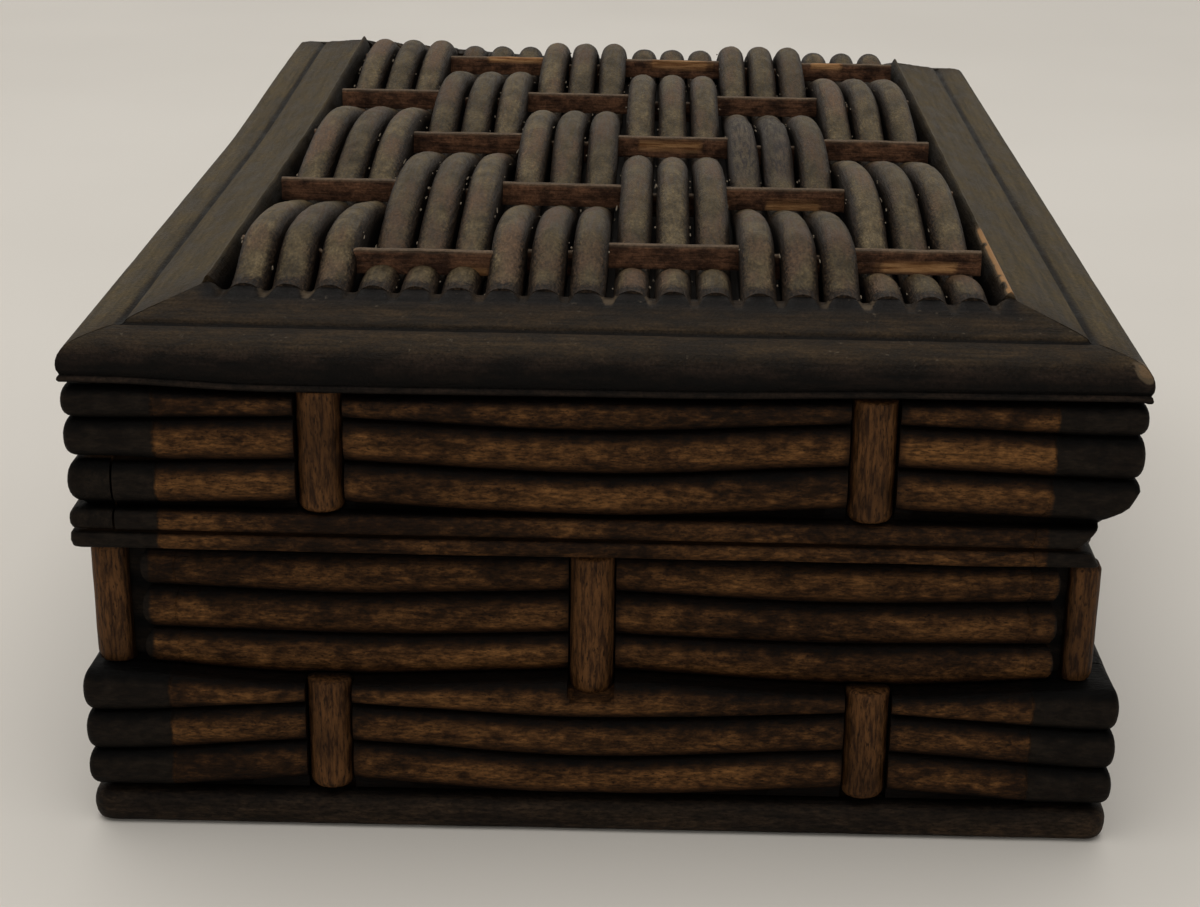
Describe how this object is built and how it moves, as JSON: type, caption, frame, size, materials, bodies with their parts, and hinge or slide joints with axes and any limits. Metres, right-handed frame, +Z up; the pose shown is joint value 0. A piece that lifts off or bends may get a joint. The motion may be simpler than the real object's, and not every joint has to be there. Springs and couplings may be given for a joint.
{
  "type": "wooden puzzle box",
  "caption": "Carved wooden trick box: a reeded tray and hinged lid with a basket-weave top, locked by a sliding key bar in the lid's side.",
  "frame": {"origin": "middle of the underside of the box", "axes": "+Z up, +Y along the long side away from the sliding key bar's open end, +X towards the hinge"},
  "size_m": [0.127, 0.178, 0.0706],
  "materials": {
    "carved_wood": "dark stained, worn to brown on the crests, satin",
    "dowel_wood": "unstained brown hardwood, worn satin",
    "moulding_wood": "dark stained, dusty satin",
    "strand_wood": "grey-brown, dusty and dry",
    "lath_wood": "red-brown, dry",
    "steel_wire": "plain drawn steel, dulled"
  },
  "bodies": {
    "tray": {"base_board": "carved_wood", "body_front_wall": "carved_wood", "body_back_wall": "carved_wood", "body_left_wall": "carved_wood", "body_right_wall": "carved_wood", "lower_post_front_1": "dowel_wood", "lower_post_front_2": "dowel_wood", "lower_post_back_1": "dowel_wood", "lower_post_back_2": "dowel_wood", "lower_post_left_1": "dowel_wood", "lower_post_left_2": "dowel_wood", "lower_post_right_1": "dowel_wood", "lower_post_right_2": "dowel_wood", "middle_post_front": "dowel_wood", "middle_post_back": "dowel_wood", "middle_post_left": "dowel_wood", "middle_post_right": "dowel_wood", "corner_post_front_left": "dowel_wood", "corner_post_front_right": "dowel_wood", "corner_post_back_left": "dowel_wood", "corner_post_back_right": "dowel_wood", "catch_hook_front": "steel_wire", "catch_hook_back": "steel_wire", "hinge_pin_front": "steel_wire", "hinge_pin_back": "steel_wire"},
    "lid": {"lid_board": "carved_wood", "lid_front_wall": "carved_wood", "lid_back_wall": "carved_wood", "lid_left_wall": "carved_wood", "lid_right_wall": "carved_wood", "lid_post_front_1": "dowel_wood", "lid_post_front_2": "dowel_wood", "lid_post_back_1": "dowel_wood", "lid_post_back_2": "dowel_wood", "lid_post_left_1": "dowel_wood", "lid_post_left_2": "dowel_wood", "lid_post_right_1": "dowel_wood", "lid_post_right_2": "dowel_wood", "moulding_front": "moulding_wood", "moulding_back": "moulding_wood", "moulding_left": "moulding_wood", "moulding_right": "moulding_wood", "strand_bundle_1": "strand_wood", "strand_bundle_2": "strand_wood", "strand_bundle_3": "strand_wood", "strand_bundle_4": "strand_wood", "strand_bundle_5": "strand_wood", "strand_bundle_6": "strand_wood", "cross_lath_1": "lath_wood", "cross_lath_2": "lath_wood", "cross_lath_3": "lath_wood", "cross_lath_4": "lath_wood", "cross_lath_5": "lath_wood", "hinge_ear_front": "steel_wire", "hinge_ear_back": "steel_wire"},
    "key": {"key_bar": "carved_wood", "key_runner": "carved_wood", "key_post_front": "dowel_wood", "key_post_back": "dowel_wood"}
  },
  "joints": [
    {"name": "lid_hinge", "type": "hinge", "parent": "tray", "child": "lid", "pos_m": [0.0576, 0, 0.038], "axis": [0, 1, 0], "range_deg": [0, 110]},
    {"name": "key_slide", "type": "slide", "parent": "lid", "child": "key", "axis": [0, -1, 0], "range_m": [0, 0.0133]}
  ]
}
